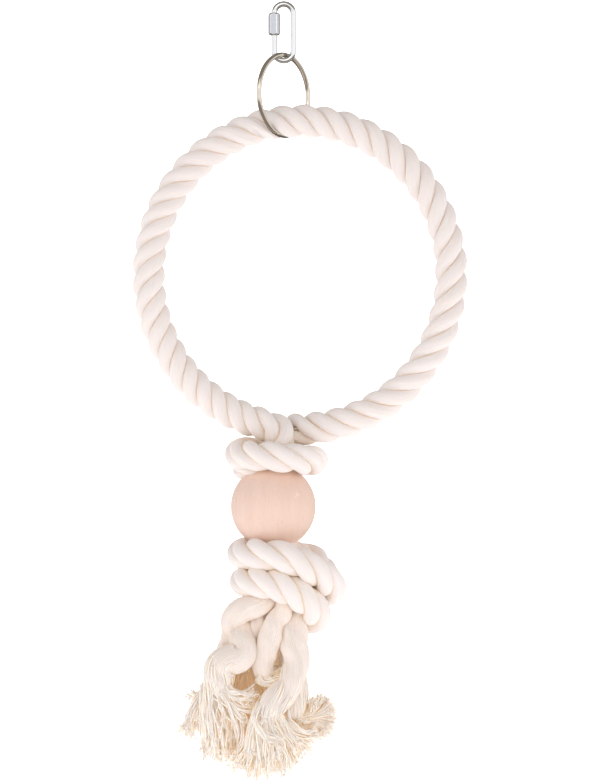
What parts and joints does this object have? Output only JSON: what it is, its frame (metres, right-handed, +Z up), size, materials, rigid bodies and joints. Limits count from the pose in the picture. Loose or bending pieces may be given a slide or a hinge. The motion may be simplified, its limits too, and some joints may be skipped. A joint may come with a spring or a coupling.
{
  "type": "rope ring bird toy",
  "caption": "Hanging cotton rope ring on a steel hoop, with quick link, O-ring, rope collar, wooden ball, double-turn knot and frayed strand tails; a swing and chew toy for cage birds",
  "frame": {"origin": "Inside face of the quick link's top bow, where a hook or cage wire carries the toy", "axes": "+Z up along the hanging line, +X to the right of the ring as seen from the front, front of the ring faces -Y"},
  "size_m": [0.201, 0.0674, 0.4612],
  "materials": {
    "zinc_steel": "bright zinc plate, smooth",
    "nickel_ring": "polished nickel plate, slightly warm",
    "hoop_steel": "drawn steel wire",
    "cotton_rope": "undyed laid cotton, soft and matt, fine yarn lines along each strand",
    "cotton_yarn": "undyed cotton yarn, unlaid and frayed, matt",
    "beech_wood": "pale bare beech with vertical grain, sanded"
  },
  "bodies": {
    "quick_link": {"quick_link_body": "zinc_steel"},
    "sleeve_nut": {"quick_link_nut": "zinc_steel"},
    "o_ring": {"o_ring": "nickel_ring"},
    "rope_ring": {"hoop_core": "hoop_steel", "ring_strand_1": "cotton_rope", "ring_strand_2": "cotton_rope", "ring_strand_3": "cotton_rope", "neck_left": "cotton_rope", "neck_right": "cotton_rope"},
    "pendant": {"collar_turn": "cotton_rope", "rope_end_left": "cotton_rope", "rope_end_right": "cotton_rope", "knot_upper_turn": "cotton_rope", "knot_lower_turn": "cotton_rope", "tail_1": "cotton_yarn", "tail_2": "cotton_yarn", "tail_3": "cotton_yarn", "tail_4": "cotton_yarn", "tail_5": "cotton_yarn", "tail_6": "cotton_yarn", "fringe_1": "cotton_yarn", "fringe_2": "cotton_yarn", "fringe_3": "cotton_yarn", "fringe_4": "cotton_yarn", "fringe_5": "cotton_yarn", "fringe_6": "cotton_yarn"},
    "ball": {"wooden_ball": "beech_wood"}
  },
  "joints": [
    {"name": "nut_travel", "type": "slide", "parent": "quick_link", "child": "sleeve_nut", "axis": [0, 0, -1], "range_m": [0, 0.0085]},
    {"name": "o_ring_swing", "type": "hinge", "parent": "quick_link", "child": "o_ring", "pos_m": [0, 0, -0.02855], "axis": [0.6046, 0.7965, 0], "range_deg": [-60, 60]},
    {"name": "ring_swing", "type": "hinge", "parent": "o_ring", "child": "rope_ring", "pos_m": [0, 0, -0.07655], "axis": [0.6046, 0.7965, 0], "range_deg": [-25, 25]},
    {"name": "pendant_swing", "type": "hinge", "parent": "rope_ring", "child": "pendant", "pos_m": [0, 0, -0.26], "axis": [1, 0, 0], "range_deg": [-12, 12], "deforming": ["neck_left", "neck_right"]},
    {"name": "ball_spin", "type": "hinge", "parent": "pendant", "child": "ball", "pos_m": [-0.00625, 0, -0.2972], "axis": [0, 0, 1], "continuous": true}
  ]
}
